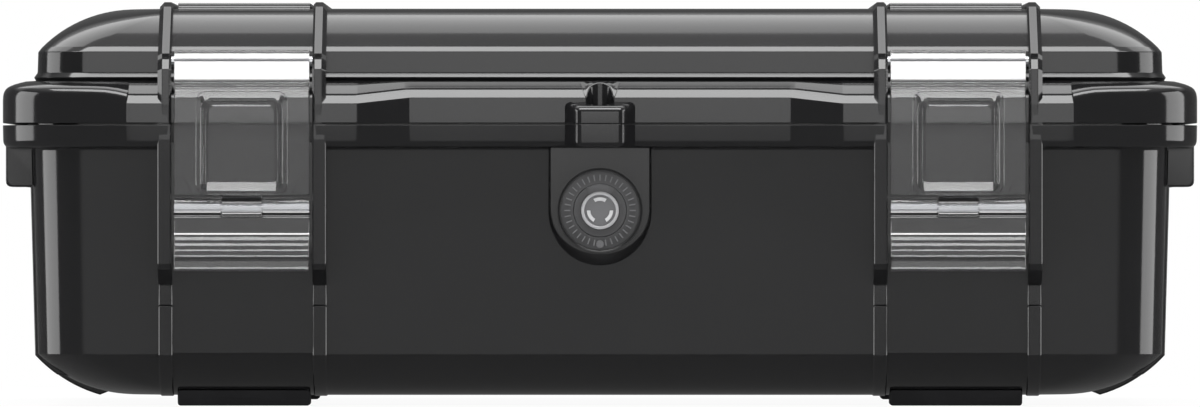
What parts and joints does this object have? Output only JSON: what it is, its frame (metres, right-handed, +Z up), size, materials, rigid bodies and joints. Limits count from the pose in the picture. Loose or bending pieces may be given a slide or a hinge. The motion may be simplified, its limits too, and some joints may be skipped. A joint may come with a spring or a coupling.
{
  "type": "waterproof hard case",
  "caption": "Black moulded equipment case with a hinged, sealed lid, clear draw latches, a padlock hasp, strap bars, rubber feet and a pressure valve.",
  "frame": {"origin": "on the ground under the middle of the closed case's bounding box", "axes": "+X along the front from its left end to its right end, +Y to the hinges, +Z up through the lid"},
  "size_m": [0.362, 0.299, 0.1225],
  "materials": {
    "shell_black": "glossy black",
    "clear_plastic": "clear, polished",
    "steel": "bright stainless",
    "rubber_black": "matt",
    "valve_black": "satin black",
    "hub_grey": "translucent light grey",
    "membrane_white": "matt white"
  },
  "bodies": {
    "base": {"base_shell": "shell_black", "valve_housing": "valve_black", "valve_membrane": "membrane_white", "valve_hub": "hub_grey", "valve_cap": "valve_black", "valve_nut": "valve_black", "valve_o_ring": "rubber_black", "hinge_pin_left": "steel", "hinge_pin_right": "steel", "strap_bar_front_left": "steel", "strap_bar_front_right": "steel", "strap_bar_rear_left": "steel", "strap_bar_rear_right": "steel", "foot_front_left": "rubber_black", "foot_front_right": "rubber_black", "foot_rear_left": "rubber_black", "foot_rear_right": "rubber_black"},
    "lid": {"lid_shell": "shell_black", "lid_seal": "rubber_black", "latch_pivot_pin_left": "steel", "latch_pivot_pin_right": "steel"},
    "lever_left": {"latch_lever_left": "clear_plastic"},
    "lever_right": {"latch_lever_right": "clear_plastic"},
    "hook_left": {"latch_hook_left": "clear_plastic", "latch_hook_pin_left": "steel"},
    "hook_right": {"latch_hook_right": "clear_plastic", "latch_hook_pin_right": "steel"}
  },
  "joints": [
    {"name": "lid_hinge", "type": "hinge", "parent": "base", "child": "lid", "pos_m": [0, 0.1445, 0.0896], "axis": [-1, 0, 0], "range_deg": [0, 105]},
    {"name": "latch_lever_left_pivot", "type": "hinge", "parent": "lid", "child": "lever_left", "pos_m": [-0.1081, -0.1392, 0.1043], "axis": [-1, 0, 0], "range_deg": [0, 160]},
    {"name": "latch_lever_right_pivot", "type": "hinge", "parent": "lid", "child": "lever_right", "pos_m": [0.1081, -0.1392, 0.1043], "axis": [-1, 0, 0], "range_deg": [0, 160]},
    {"name": "latch_hook_left_pivot", "type": "hinge", "parent": "lever_left", "child": "hook_left", "pos_m": [-0.1081, -0.1424, 0.0603], "axis": [-1, 0, 0], "range_deg": [0, 60]},
    {"name": "latch_hook_right_pivot", "type": "hinge", "parent": "lever_right", "child": "hook_right", "pos_m": [0.1081, -0.1424, 0.0603], "axis": [-1, 0, 0], "range_deg": [0, 60]}
  ]
}
